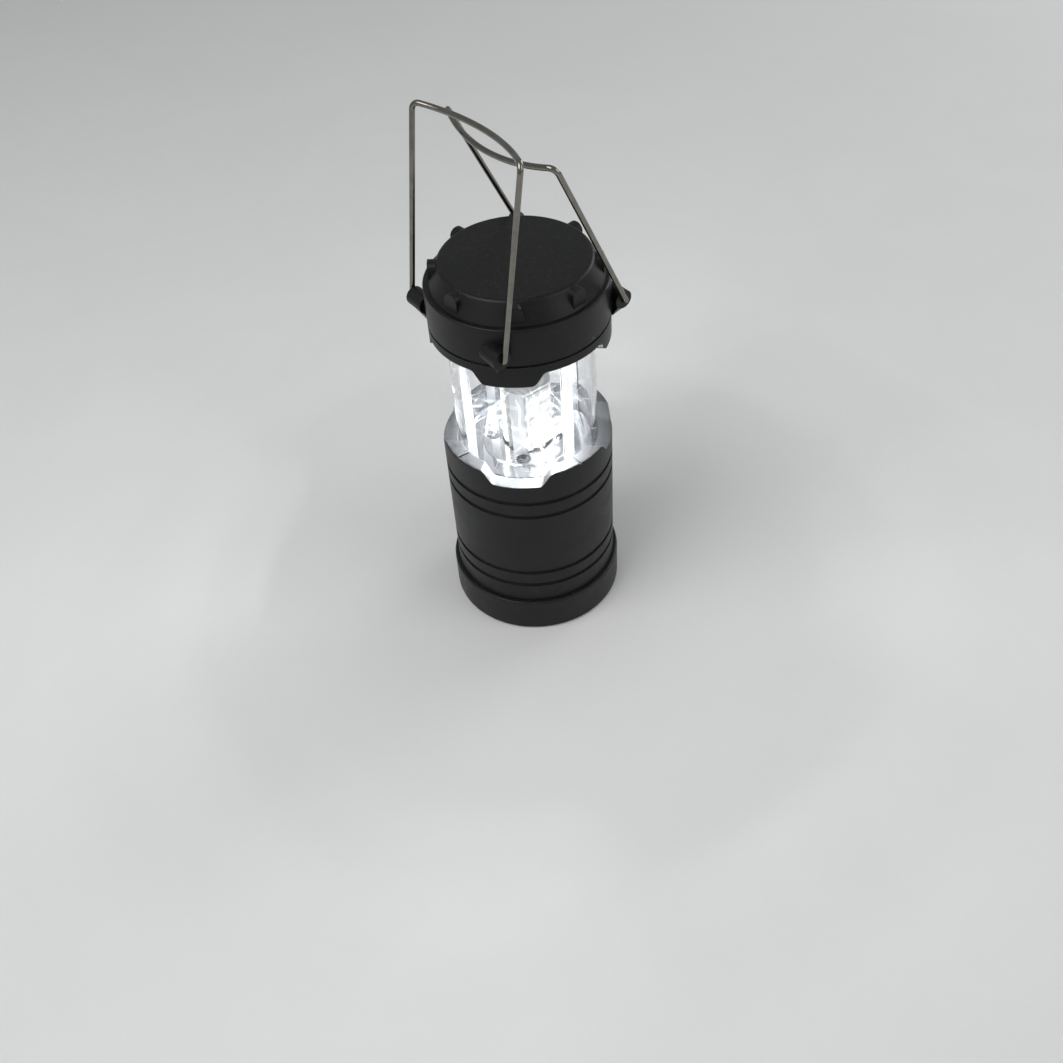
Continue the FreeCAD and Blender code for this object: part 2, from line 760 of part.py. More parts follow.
def bail(side_y, lean):
    """Bent wire loop on the -Y or +Y ears, leaning inwards by lean degrees from upright."""
    slant = math.radians(bow_angle)
    flare = math.radians(leg_flare)
    along_bow = FreeCAD.Vector(-math.cos(slant), math.sin(slant), 0)
    up_leg = FreeCAD.Vector(math.sin(flare), 0, math.cos(flare))
    foot = FreeCAD.Vector(leg_offset, 0, 0)
    corner = foot + up_leg * leg_length
    low_bend = bend(foot, X_AXIS * -1, up_leg, pin_bend)
    high_bend = bend(corner, up_leg * -1, along_bow, bow_bend)
    bow_start = high_bend[2]
    bow_radius = bow_start.x / math.sin(slant)
    crest = FreeCAD.Vector(0, bow_start.y + bow_radius * (1 - math.cos(slant)), bow_start.z)
    bow_end = FreeCAD.Vector(-bow_start.x, bow_start.y, bow_start.z)
    pin_end = FreeCAD.Vector(ear_end - pin_length, 0, 0)
    half = [Part.LineSegment(pin_end, low_bend[0]).toShape(), Part.Arc(*low_bend).toShape(),
            Part.LineSegment(low_bend[2], high_bend[0]).toShape(), Part.Arc(*high_bend).toShape()]
    bow = Part.Arc(bow_start, crest, bow_end).toShape()
    other = [edge.mirror(ORIGIN, X_AXIS) for edge in half]
    path = Part.Wire(Part.__sortEdges__(half + [bow] + other))
    section = Part.Wire(Part.makeCircle(wire_radius, pin_end, X_AXIS))
    wire = path.makePipeShell([section], True, False)
    wire.rotate(ORIGIN, X_AXIS, -lean)
    if side_y > 0:
        wire.rotate(ORIGIN, Z_AXIS, 180)
    wire.translate(FreeCAD.Vector(0, side_y * pivot_offset, pivot_level))
    return wire


def main():
    """Build and write every node."""
    os.makedirs("parts", exist_ok=True)
    save("base_sleeve", base_sleeve())
    save("globe_seal", globe_seal())
    save("inner_core", inner_core())
    save("core_screws", core_screws())
    save("circuit_board", circuit_board())
    save("board_screws", board_screws())
    save("battery_terminals", battery_terminals())
    save("battery_carrier", battery_carrier())
    for number, (x, y) in enumerate(on_circle(cell_circle, cell_count, cell_position), 1):
        save("battery_%d" % number, battery(x, y))
    save("cell_springs", cell_springs())
    save("cell_contacts", cell_contacts())
    save("contact_rail", contact_rail())
    save("lower_reflector", lower_reflector())
    save("reflector_screws", reflector_screws())
    save("led_tower", led_tower())
    save("tower_screw", tower_screw())
    save("tower_cap", tower_cap())
    for number, angle in enumerate(even_angles(board_count, 0), 1):
        save("led_board_%d" % number, led_board(angle))
        save("led_chips_%d" % number, led_chips(angle))
    save("bottom_cap", bottom_cap())
    save("foot_pad", foot_pad())
    save("cap_gasket", cap_gasket())
    save("battery_pad", battery_pad())
    save("globe", globe())
    save("globe_retainer", globe_retainer())
    save("wiper_contact", wiper_contact())
    save("head_ring", head_ring())
    save("top_cap", top_cap())
    save("upper_reflector", upper_reflector())
    save("cap_screws", cap_screws())
    save("bail_front", bail(-1, front_lean))
    save("bail_rear", bail(1, rear_lean))


main()
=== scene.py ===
"""Dress a collapsible camping lantern for a studio picture: finishes, LEDs, light and camera."""
import logging
import math
from collections.abc import Callable
from dataclasses import dataclass, field
from enum import Enum
from typing import Optional, Union

import bmesh
import bpy
from mathutils import Matrix, Vector


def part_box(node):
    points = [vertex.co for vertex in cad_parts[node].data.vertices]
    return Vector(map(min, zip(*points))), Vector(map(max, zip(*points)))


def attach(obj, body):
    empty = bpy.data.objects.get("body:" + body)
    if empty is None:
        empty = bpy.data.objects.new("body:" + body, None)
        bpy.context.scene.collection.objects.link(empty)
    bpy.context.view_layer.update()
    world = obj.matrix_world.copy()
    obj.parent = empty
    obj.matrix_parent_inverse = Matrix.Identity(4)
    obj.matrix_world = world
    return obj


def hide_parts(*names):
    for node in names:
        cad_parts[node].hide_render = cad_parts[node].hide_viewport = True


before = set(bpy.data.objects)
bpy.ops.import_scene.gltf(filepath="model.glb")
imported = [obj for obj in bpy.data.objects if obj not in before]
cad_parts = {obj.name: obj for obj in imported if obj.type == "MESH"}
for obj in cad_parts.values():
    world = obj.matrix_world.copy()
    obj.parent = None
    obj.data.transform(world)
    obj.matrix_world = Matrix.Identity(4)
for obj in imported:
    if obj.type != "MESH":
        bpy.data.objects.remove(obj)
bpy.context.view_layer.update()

MM = 0.001
SAME_POINT = 0.001 * MM
QUARTER_TURN = 90.0

Band = tuple[float, float]
Triple = tuple[float, float, float]
Colour = Triple
Feed = Union[float, Triple, bpy.types.NodeSocket]

log = logging.getLogger("lantern")


class Body(Enum):
    """Bodies of the lantern that the built pieces ride on."""

    BASE = "base"
    CAP = "cap"


class Maths(Enum):
    """Sums that the finishes ask of a Math node."""

    ADD = "ADD"
    TAKE = "SUBTRACT"
    TIMES = "MULTIPLY"
    SIZE = "ABSOLUTE"
    TURN = "ARCTAN2"
    LARGER = "MAXIMUM"


class Kind(Enum):
    """Kinds of socket on a shared effect."""

    VALUE = "NodeSocketFloat"
    VECTOR = "NodeSocketVector"


class Effect(Enum):
    """Surface effects that several finishes share."""

    GRAIN = "moulded_grain"
    EDGES = "rounded_edges"
    DUST = "settled_dust"
    HAIRLINES = "hairline_scratches"
    SMUDGES = "handling_smudges"


class Graph:
    """Short calls for adding nodes to one node tree and wiring them."""

    COLOUR_A = 6
    COLOUR_B = 7
    COLOUR_RESULT = 2
    MIDDLE_LEVEL = 0.5

    def __init__(self, tree: bpy.types.NodeTree) -> None:
        """Work on the node tree of one material or node group."""
        self.tree = tree

    def feed(self, socket: bpy.types.NodeSocket, value: Feed) -> None:
        """Link another socket to an input, or set the input's own value.

        Args:
            socket: The input.
            value: A number, a colour or the socket to link.
        """
        if isinstance(value, bpy.types.NodeSocket):
            self.tree.links.new(value, socket)
        elif isinstance(value, tuple) and socket.type == "RGBA":
            socket.default_value = (*value, 1.0)
        else:
            socket.default_value = value

    def node(self, kind: str, inputs: Optional[dict[str, Feed]] = None,
             **settings: object) -> bpy.types.Node:
        """Add a shader node.

        Args:
            kind: The node's class name after "ShaderNode".
            inputs: Values or links for its inputs, by name.
            settings: Properties of the node.

        Returns:
            The new node.
        """
        made = self.tree.nodes.new("ShaderNode" + kind)
        for name, value in settings.items():
            setattr(made, name, value)
        for name, value in (inputs or {}).items():
            self.feed(made.inputs[name], value)
        return made

    def maths(self, sum_kind: Maths, first: Feed, second: Feed = 0.0) -> bpy.types.NodeSocket:
        """Work out a sum of two values.

        Args:
            sum_kind: Which sum.
            first: The first value.
            second: The second value.

        Returns:
            The result's socket.
        """
        made = self.node("Math", operation=sum_kind.value)
        self.feed(made.inputs[0], first)
        self.feed(made.inputs[1], second)
        return made.outputs[0]

    def span(self, value: Feed, start: Feed, end: Feed,
             low: Feed = 0.0, high: Feed = 1.0) -> bpy.types.NodeSocket:
        """Map a stretch of values smoothly onto another, and hold it at both ends.

        Args:
            value: What is mapped.
            start: The value that gives low.
            end: The value that gives high.
            low: The result at start.
            high: The result at end.

        Returns:
            The result's socket.
        """
        made = self.node("MapRange", interpolation_type="SMOOTHSTEP", inputs={
            "Value": value, "From Min": start, "From Max": end, "To Min": low, "To Max": high})
        return made.outputs["Result"]

    def blend(self, share: Feed, first: Feed, second: Feed) -> bpy.types.NodeSocket:
        """Mix two colours.

        Args:
            share: How much of the second colour shows.
            first: The first colour.
            second: The second colour.

        Returns:
            The mixed colour's socket.
        """
        made = self.node("Mix", {"Factor": share}, data_type="RGBA")
        self.feed(made.inputs[self.COLOUR_A], first)
        self.feed(made.inputs[self.COLOUR_B], second)
        return made.outputs[self.COLOUR_RESULT]

    def noise(self, vector: Feed, scale: Feed, detail: float = 2.0,
              distortion: float = 0.0) -> bpy.types.NodeSocket:
        """Add a noise texture.

        Args:
            vector: Where the noise is read.
            scale: Lumps per metre.
            detail: Octaves of finer noise.
            distortion: How far the noise is swirled.

        Returns:
            The socket of its value.
        """
        made = self.node("TexNoise", {
            "Vector": vector, "Scale": scale, "Detail": detail, "Distortion": distortion})
        return made.outputs["Fac"]

    def hairs(self, vector: Feed, turn: Triple, stretch: Triple, scale: Feed,
              width: Feed) -> bpy.types.NodeSocket:
        """Draw hairlines: the narrow level lines of a noise that is stretched one way.

        Args:
            vector: Where the noise is read.
            turn: How the stretch is turned, as angles in radians.
            stretch: How far the noise is stretched along each turned axis.
            scale: Lumps per metre across the lines.
            width: How far from the level a line fades out.

        Returns:
            The socket of the lines' mask.
        """
        turned = self.node("Mapping", {"Vector": vector, "Rotation": turn, "Scale": stretch},
                           vector_type="TEXTURE")
        level = self.noise(turned.outputs["Vector"], scale, detail=1.0)
        away = self.maths(Maths.SIZE, self.maths(Maths.TAKE, level, self.MIDDLE_LEVEL))
        return self.span(away, 0.0, width, 1.0, 0.0)

    def bump(self, height: Feed, depth: float, normal: Optional[Feed] = None,
             strength: float = 1.0) -> bpy.types.NodeSocket:
        """Add a bump.

        Args:
            height: Height between 0 and 1.
            depth: The height's full depth in metres.
            normal: The normal under the bump, if not the surface's own.
            strength: How much of the bump shows.

        Returns:
            The bumped normal's socket.
        """
        made = self.node("Bump", {"Height": height, "Distance": depth, "Strength": strength})
        if normal is not None:
            self.feed(made.inputs["Normal"], normal)
        return made.outputs["Normal"]

    def place(self) -> bpy.types.NodeSocket:
        """Give the socket of the point's place on its own piece."""
        return self.node("TexCoord").outputs["Object"]


class EffectShelf:
    """Makes each shared effect once, as a node group, and places it in materials.

    A band is the stretch of values over which a mask goes from none to full.
    """

    MOTTLE_BAND: Band = (0.3, 0.7)
    MOTTLE_SWIRL = 0.4
    EDGE_SAMPLES = 6
    EDGE_BAND: Band = (0.99, 0.8)
    RUB_BAND: Band = (0.42, 0.62)
    UPWARD_BAND: Band = (0.35, 0.95)
    GRIT_BAND: Band = (0.56, 0.74)
    SCRATCH_TURNS: tuple[Triple, ...] = ((0.5, 0.3, 0.2), (1.1, -0.6, 0.9))
    SCRATCH_STRETCHES: tuple[Triple, ...] = ((1.0, 1.0, 20.0), (20.0, 1.0, 1.0))
    RUN_SCALE = 140.0
    RUN_BAND: Band = (0.48, 0.56)
    SMUDGE_BAND: Band = (0.32, 0.68)
    SMUDGE_SWIRL = 1.2

    def __init__(self) -> None:
        """Start with an empty shelf."""
        self.groups: dict[Effect, bpy.types.NodeTree] = {}
        self.makers: dict[Effect, Callable[[str], bpy.types.NodeTree]] = {
            Effect.GRAIN: self.make_grain,
            Effect.EDGES: self.make_edges,
            Effect.DUST: self.make_dust,
            Effect.HAIRLINES: self.make_hairlines,
            Effect.SMUDGES: self.make_smudges,
        }

    def put(self, graph: Graph, effect: Effect, **values: Feed) -> bpy.types.Node:
        """Place an effect in a material.

        Args:
            graph: The material's graph.
            effect: Which effect.
            values: Values for its inputs, by name.

        Returns:
            The group node, whose outputs have the effect's names.
        """
        if effect not in self.groups:
            self.groups[effect] = self.makers[effect](effect.value)
        made = graph.node("Group", node_tree=self.groups[effect])
        for name, value in values.items():
            graph.feed(made.inputs[name], value)
        return made

    def start(self, name: str, inputs: dict[str, float],
              outputs: dict[str, Kind]) -> tuple[Graph, bpy.types.NodeOutputs, bpy.types.NodeInputs]:
        """Start a node group.

        Args:
            name: The group's name.
            inputs: Its inputs and their usual values.
            outputs: Its outputs and their kinds.

        Returns:
            The group's graph, its input sockets and its output sockets.
        """
        tree = bpy.data.node_groups.new(name, "ShaderNodeTree")
        for label, usual in inputs.items():
            socket = tree.interface.new_socket(label, in_out="INPUT", socket_type=Kind.VALUE.value)
            socket.default_value = usual
        for label, kind in outputs.items():
            tree.interface.new_socket(label, in_out="OUTPUT", socket_type=kind.value)
        entry = tree.nodes.new("NodeGroupInput")
        leave = tree.nodes.new("NodeGroupOutput")
        return Graph(tree), entry.outputs, leave.inputs

    def make_grain(self, name: str) -> bpy.types.NodeTree:
        """Make the fine grain of a mould's face, with a broad mottle.

        Args:
            name: The group's name.

        Returns:
            The node group.
        """
        graph, given, result = self.start(
            name, {"Scale": 2500.0, "Mottle Scale": 60.0}, {"Height": Kind.VALUE, "Mottle": Kind.VALUE})
        spot = graph.place()
        graph.feed(result["Height"], graph.noise(spot, given["Scale"], detail=3.0))
        broad = graph.noise(spot, given["Mottle Scale"], detail=4.0, distortion=self.MOTTLE_SWIRL)
        graph.feed(result["Mottle"], graph.span(broad, *self.MOTTLE_BAND))
        return graph.tree

    def make_edges(self, name: str) -> bpy.types.NodeTree:
        """Make the small rounding of moulded edges and the rub marks on them.

        Args:
            name: The group's name.

        Returns:
            The node group.
        """
        graph, given, result = self.start(
            name, {"Radius": 0.4 * MM, "Scale": 400.0}, {"Normal": Kind.VECTOR, "Wear": Kind.VALUE})
        rounded = graph.node(
            "Bevel", {"Radius": given["Radius"]}, samples=self.EDGE_SAMPLES).outputs["Normal"]
        flat = graph.node("NewGeometry").outputs["Normal"]
        agree = graph.node("VectorMath", operation="DOT_PRODUCT")
        graph.feed(agree.inputs[0], rounded)
        graph.feed(agree.inputs[1], flat)
        turn = graph.span(agree.outputs["Value"], *self.EDGE_BAND)
        patches = graph.span(graph.noise(graph.place(), given["Scale"], detail=4.0), *self.RUB_BAND)
        graph.feed(result["Wear"], graph.maths(Maths.TIMES, turn, patches))
        graph.feed(result["Normal"], rounded)
        return graph.tree

    def make_dust(self, name: str) -> bpy.types.NodeTree:
        """Make the fine specks of dust that settle on faces that look up.

        Args:
            name: The group's name.

        Returns:
            The node group.
        """
        graph, given, result = self.start(name, {"Amount": 0.2, "Scale": 900.0}, {"Mask": Kind.VALUE})
        coordinates = graph.node("TexCoord")
        upward = graph.node("SeparateXYZ", {"Vector": coordinates.outputs["Normal"]}).outputs["Z"]
        lies = graph.span(upward, *self.UPWARD_BAND)
        grit = graph.noise(coordinates.outputs["Object"], given["Scale"], detail=5.0)
        specks = graph.maths(Maths.TIMES, lies, graph.span(grit, *self.GRIT_BAND))
        graph.feed(result["Mask"], graph.maths(Maths.TIMES, specks, given["Amount"]))
        return graph.tree

    def make_hairlines(self, name: str) -> bpy.types.NodeTree:
        """Make hairline scratches in two directions, broken into short runs.

        Args:
            name: The group's name.

        Returns:
            The node group.
        """
        graph, given, result = self.start(name, {"Scale": 160.0, "Width": 0.012}, {"Mask": Kind.VALUE})
        spot = graph.place()
        total: Feed = 0.0
        for turn, stretch in zip(self.SCRATCH_TURNS, self.SCRATCH_STRETCHES):
            line = graph.hairs(spot, turn, stretch, given["Scale"], given["Width"])
            total = graph.maths(Maths.LARGER, line, total)
        shown = graph.span(graph.noise(spot, self.RUN_SCALE), *self.RUN_BAND)
        graph.feed(result["Mask"], graph.maths(Maths.TIMES, total, shown))
        return graph.tree

    def make_smudges(self, name: str) -> bpy.types.NodeTree:
        """Make the uneven shine that handling leaves.

        Args:
            name: The group's name.

        Returns:
            The node group.
        """
        graph, given, result = self.start(name, {"Scale": 55.0}, {"Value": Kind.VALUE})
        film = graph.noise(graph.place(), given["Scale"], detail=5.0, distortion=self.SMUDGE_SWIRL)
        graph.feed(result["Value"], graph.span(film, *self.SMUDGE_BAND))
        return graph.tree


@dataclass(frozen=True)
class Finish:
    """A surface that pieces are dressed in."""

    name: str
    colour: Colour
    roughness: float

    def material(self, shelf: EffectShelf) -> bpy.types.Material:
        """Make the finish's material.

        Args:
            shelf: The shared effects.

        Returns:
            The new material.
        """
        made = bpy.data.materials.new(self.name)
        made.use_nodes = True
        made.node_tree.nodes.clear()
        graph = Graph(made.node_tree)
        surface = graph.node("BsdfPrincipled")
        graph.node("OutputMaterial", {"Surface": self.wire(graph, surface, shelf)})
        return made

    def wire(self, graph: Graph, surface: bpy.types.Node, shelf: EffectShelf) -> bpy.types.NodeSocket:
        """Feed the Principled node and give the socket that goes to the material's output."""
        raise NotImplementedError


@dataclass(frozen=True)
class HandledFinish(Finish):
    """A finish whose shine is uneven from handling."""

    shine_spread: float = 0.05
    smudge_scale: float = 55.0

    def shine(self, graph: Graph, shelf: EffectShelf) -> bpy.types.NodeSocket:
        """Spread the roughness to both sides of its usual value.

        Args:
            graph: The material's graph.
            shelf: The shared effects.

        Returns:
            The roughness's socket.
        """
        smudges = shelf.put(graph, Effect.SMUDGES, Scale=self.smudge_scale)
        return graph.span(smudges.outputs["Value"], 0.0, 1.0,
                          self.roughness - self.shine_spread, self.roughness + self.shine_spread)


@dataclass(frozen=True)
class Moulded(HandledFinish):
    """Moulded plastic or rubber with grain, soft edges, rubbed corners, dust and uneven shine."""

    mottled: Colour = (0.03, 0.03, 0.03)
    rubbed: Colour = (0.12, 0.12, 0.12)
    wear: float = 0.5
    dust: float = 0.25
    scuff_share: float = 0.2
    dust_colour: Colour = (0.42, 0.41, 0.39)
    gloss: float = 0.4
    grain_scale: float = 2600.0
    grain_depth: float = 0.02 * MM
    grain_strength: float = 0.6
    edge_radius: float = 0.35 * MM
    scratch_depth: float = 0.003 * MM

    def wire(self, graph: Graph, surface: bpy.types.Node, shelf: EffectShelf) -> bpy.types.NodeSocket:
        """Feed the Principled node.

        Args:
            graph: The material's graph.
            surface: Its Principled node.
            shelf: The shared effects.

        Returns:
            The socket that goes to the material's output.
        """
        surface.inputs["Specular IOR Level"].default_value = self.gloss
        grain = shelf.put(graph, Effect.GRAIN, Scale=self.grain_scale)
        edges = shelf.put(graph, Effect.EDGES, Radius=self.edge_radius)
        dust = shelf.put(graph, Effect.DUST, Amount=self.dust)
        lines = shelf.put(graph, Effect.HAIRLINES)
        body = graph.blend(grain.outputs["Mottle"], self.colour, self.mottled)
        rub = graph.maths(Maths.TIMES, edges.outputs["Wear"], self.wear)
        scuff = graph.maths(Maths.TIMES, lines.outputs["Mask"], self.wear * self.scuff_share)
        worn = graph.blend(scuff, graph.blend(rub, body, self.rubbed), self.rubbed)
        graph.feed(surface.inputs["Base Color"], graph.blend(dust.outputs["Mask"], worn, self.dust_colour))
        shine = graph.maths(Maths.ADD, self.shine(graph, shelf), dust.outputs["Mask"])
        graph.feed(surface.inputs["Roughness"], shine)
        grained = graph.bump(grain.outputs["Height"], self.grain_depth, edges.outputs["Normal"],
                             self.grain_strength)
        scratched = graph.maths(Maths.TAKE, 1.0, lines.outputs["Mask"])
        graph.feed(surface.inputs["Normal"], graph.bump(scratched, self.scratch_depth, grained))
        return surface.outputs["BSDF"]


@dataclass(frozen=True)
class ClearMoulded(Finish):
    """Clear moulded tube with flow lines down it, scratches all over it and scuffed ribs inside."""

    bend: float = 1.49
    smudge_scale: float = 90.0
    tube_radius: float = 33.0 * MM
    scratch_scales: tuple[float, ...] = (95.0, 150.0)
    scratch_length: float = 0.8
    scratch_width: float = 0.09 * MM
    scratched_roughness: float = 0.42
    rib_reach: float = 30.3 * MM
    rib_fade: float = 0.3 * MM
    rib_roughness: tuple[float, float] = (0.22, 0.42)
    flow_scale: float = 260.0
    flow_stretch: Triple = (1.0, 1.0, 0.02)
    flow_band: Band = (0.3, 0.7)
    flow_depth: float = 0.01 * MM
    flow_strength: float = 0.7
    scratch_depth: float = 0.004 * MM
    lamp_share: float = 0.9

    def wire(self, graph: Graph, surface: bpy.types.Node, shelf: EffectShelf) -> bpy.types.NodeSocket:
        """Feed the Principled node and let the lamps' light through.

        Args:
            graph: The material's graph.
            surface: Its Principled node.
            shelf: The shared effects.

        Returns:
            The socket that goes to the material's output.
        """
        spot = graph.node("SeparateXYZ", {"Vector": graph.place()}).outputs
        lines = self.scratches(graph, spot)
        smudges = shelf.put(graph, Effect.SMUDGES, Scale=self.smudge_scale)
        surface.inputs["Base Color"].default_value = (*self.colour, 1.0)
        surface.inputs["Transmission Weight"].default_value = 1.0
        surface.inputs["IOR"].default_value = self.bend
        stretched = graph.node("Mapping", {"Vector": graph.place(), "Scale": self.flow_stretch})
        flow = graph.noise(stretched.outputs["Vector"], self.flow_scale)
        clean = graph.maths(Maths.TIMES, smudges.outputs["Value"], self.roughness)
        worn = graph.maths(Maths.TIMES, lines, self.scratched_roughness)
        streaks = graph.span(flow, *self.flow_band, *self.rib_roughness)
        scuffed = graph.maths(Maths.TIMES, self.ribs(graph, spot), streaks)
        smooth = graph.maths(Maths.ADD, clean, worn)
        graph.feed(surface.inputs["Roughness"], graph.maths(Maths.ADD, smooth, scuffed))
        flowed = graph.bump(flow, self.flow_depth, strength=self.flow_strength)
        dented = graph.maths(Maths.TAKE, 1.0, lines)
        graph.feed(surface.inputs["Normal"], graph.bump(dented, self.scratch_depth, flowed))
        lamps = graph.node("LightPath").outputs["Is Shadow Ray"]
        passing = graph.maths(Maths.TIMES, lamps, self.lamp_share)
        opening = graph.node("BsdfTransparent")
        mixed = graph.node("MixShader", {"Fac": passing})
        graph.feed(mixed.inputs[1], surface.outputs["BSDF"])
        graph.feed(mixed.inputs[2], opening.outputs["BSDF"])
        return mixed.outputs["Shader"]

    def ribs(self, graph: Graph, spot: bpy.types.NodeOutputs) -> bpy.types.NodeSocket:
        """Tell the ribs from the tube's own wall by how near the axis they reach.

        Args:
            graph: The material's graph.
            spot: The point's place on the tube, as X, Y and Z.

        Returns:
            The socket of the ribs' mask.
        """
        level = graph.node("CombineXYZ", {"X": spot["X"], "Y": spot["Y"]}).outputs["Vector"]
        reach = graph.node("VectorMath", {"Vector": level}, operation="LENGTH").outputs["Value"]
        return graph.span(reach, self.rib_reach, self.rib_reach - self.rib_fade)

    def scratches(self, graph: Graph, spot: bpy.types.NodeOutputs) -> bpy.types.NodeSocket:
        """Draw one short straight scratch in each cell of the unrolled tube, at a chance angle.

        Args:
            graph: The material's graph.
            spot: The point's place on the tube, as X, Y and Z.

        Returns:
            The socket of the scratches' mask.
        """
        angle = graph.maths(Maths.TURN, spot["Y"], spot["X"])
        around = graph.maths(Maths.TIMES, angle, self.tube_radius)
        sheet = graph.node("CombineXYZ", {"X": around, "Y": spot["Z"]}).outputs["Vector"]
        total: Feed = 0.0
        for scale in self.scratch_scales:
            cells = graph.node("TexVoronoi", voronoi_dimensions="2D", inputs={
                "Vector": sheet, "Scale": scale}).outputs
            chance = graph.node("SeparateColor", {"Color": cells["Color"]}).outputs["Red"]
            turn = graph.maths(Maths.TIMES, chance, math.tau)
            turned = graph.node("VectorRotate", rotation_type="Z_AXIS", inputs={
                "Vector": sheet, "Center": cells["Position"], "Angle": turn})
            offset = graph.node("VectorMath", operation="SUBTRACT")
            graph.feed(offset.inputs[0], turned.outputs["Vector"])
            graph.feed(offset.inputs[1], cells["Position"])
            away = graph.node("SeparateXYZ", {"Vector": offset.outputs["Vector"]}).outputs
            line = graph.span(graph.maths(Maths.SIZE, away["X"]), 0.0, self.scratch_width, 1.0, 0.0)
            reach = self.scratch_length / scale
            ends = graph.span(graph.maths(Maths.SIZE, away["Y"]), reach / 2, reach, 1.0, 0.0)
            total = graph.maths(Maths.LARGER, graph.maths(Maths.TIMES, line, ends), total)
        return total


@dataclass(frozen=True)
class Metal(HandledFinish):
    """Bare or coated metal with tarnish, hairlines and soft edges."""

    shine_spread: float = 0.06
    smudge_scale: float = 180.0
    tarnish: Colour = (0.4, 0.39, 0.37)
    tarnish_share: float = 0.6
    mottle_scale: float = 180.0
    ripple_scale: float = 500.0
    ripple_depth: float = 0.01 * MM
    ripple_strength: float = 0.5
    scratch_scale: float = 300.0
    scratch_width: float = 0.02
    scratch_gain: float = 2.0
    edge_radius: float = 0.15 * MM

    def wire(self, graph: Graph, surface: bpy.types.Node, shelf: EffectShelf) -> bpy.types.NodeSocket:
        """Feed the Principled node.

        Args:
            graph: The material's graph.
            surface: Its Principled node.
            shelf: The shared effects.

        Returns:
            The socket that goes to the material's output.
        """
        surface.inputs["Metallic"].default_value = 1.0
        scales = {"Scale": self.ripple_scale, "Mottle Scale": self.mottle_scale}
        grain = shelf.put(graph, Effect.GRAIN, **scales)
        edges = shelf.put(graph, Effect.EDGES, Radius=self.edge_radius)
        lines = shelf.put(graph, Effect.HAIRLINES, Scale=self.scratch_scale, Width=self.scratch_width)
        dulled = graph.maths(Maths.TIMES, grain.outputs["Mottle"], self.tarnish_share)
        graph.feed(surface.inputs["Base Color"], graph.blend(dulled, self.colour, self.tarnish))
        scored = graph.maths(Maths.TIMES, lines.outputs["Mask"], self.scratch_gain * self.shine_spread)
        graph.feed(surface.inputs["Roughness"], graph.maths(Maths.ADD, self.shine(graph, shelf), scored))
        graph.feed(surface.inputs["Normal"], graph.bump(
            grain.outputs["Height"], self.ripple_depth, edges.outputs["Normal"], self.ripple_strength))
        return surface.outputs["BSDF"]


@dataclass(frozen=True)
class Laminate(HandledFinish):
    """Circuit board with solder mask over a grid of tracks."""

    shine_spread: float = 0.08
    smudge_scale: float = 150.0
    track: Colour = (0.05, 0.2, 0.09)
    track_scale: float = 220.0
    track_width: float = 0.08
    track_blur: float = 0.2
    track_depth: float = 0.03 * MM

    def wire(self, graph: Graph, surface: bpy.types.Node, shelf: EffectShelf) -> bpy.types.NodeSocket:
        """Feed the Principled node.

        Args:
            graph: The material's graph.
            surface: Its Principled node.
            shelf: The shared effects.

        Returns:
            The socket that goes to the material's output.
        """
        bricks = graph.node("TexBrick", {
            "Vector": graph.place(), "Scale": self.track_scale, "Mortar Size": self.track_width,
            "Mortar Smooth": self.track_blur})
        graph.feed(surface.inputs["Base Color"], graph.blend(bricks.outputs["Fac"], self.colour, self.track))
        graph.feed(surface.inputs["Roughness"], self.shine(graph, shelf))
        graph.feed(surface.inputs["Normal"], graph.bump(bricks.outputs["Fac"], self.track_depth))
        return surface.outputs["BSDF"]


@dataclass(frozen=True)
class Phosphor(Finish):
    """Lit LED phosphor under clear resin."""

    glow: Colour = (0.9, 0.95, 1.0)
    strength: float = 2700.0
    grain_scale: float = 5000.0
    paler: float = 0.5

    def wire(self, graph: Graph, surface: bpy.types.Node, shelf: EffectShelf) -> bpy.types.NodeSocket:
        """Feed the Principled node.

        Args:
            graph: The material's graph.
            surface: Its Principled node.
            shelf: The shared effects.

        Returns:
            The socket that goes to the material's output.
        """
        grain = shelf.put(graph, Effect.GRAIN, Scale=self.grain_scale)
        pale = tuple(channel + self.paler * (1.0 - channel) for channel in self.colour)
        graph.feed(surface.inputs["Base Color"], graph.blend(grain.outputs["Height"], self.colour, pale))
        surface.inputs["Roughness"].default_value = self.roughness
        surface.inputs["Emission Color"].default_value = (*self.glow, 1.0)
        surface.inputs["Emission Strength"].default_value = self.strength
        return surface.outputs["BSDF"]


@dataclass(frozen=True)
class CellWrap(HandledFinish):
    """Battery can: a printed wrap between bare steel ends, told apart by height."""

    shine_spread: float = 0.06
    smudge_scale: float = 120.0
    low: float = 0.0
    high: float = 0.0
    band: float = 3.0 * MM
    band_gain: float = 4.0
    blur: float = 0.1 * MM
    steel: Colour = (0.6, 0.6, 0.58)

    def wire(self, graph: Graph, surface: bpy.types.Node, shelf: EffectShelf) -> bpy.types.NodeSocket:
        """Feed the Principled node.

        Args:
            graph: The material's graph.
            surface: Its Principled node.
            shelf: The shared effects.

        Returns:
            The socket that goes to the material's output.
        """
        height = graph.node("SeparateXYZ", {"Vector": graph.place()}).outputs["Z"]
        above = graph.span(height, self.low, self.low + self.blur)
        below = graph.span(height, self.high, self.high - self.blur)
        wrapped = graph.maths(Maths.TIMES, above, below)
        stripe = graph.span(height, self.high - self.band, self.high - self.band - self.blur)
        pale = tuple(min(1.0, self.band_gain * channel) for channel in self.colour)
        printed = graph.blend(stripe, pale, self.colour)
        graph.feed(surface.inputs["Base Color"], graph.blend(wrapped, self.steel, printed))
        graph.feed(surface.inputs["Metallic"], graph.maths(Maths.TAKE, 1.0, wrapped))
        graph.feed(surface.inputs["Roughness"], self.shine(graph, shelf))
        return surface.outputs["BSDF"]


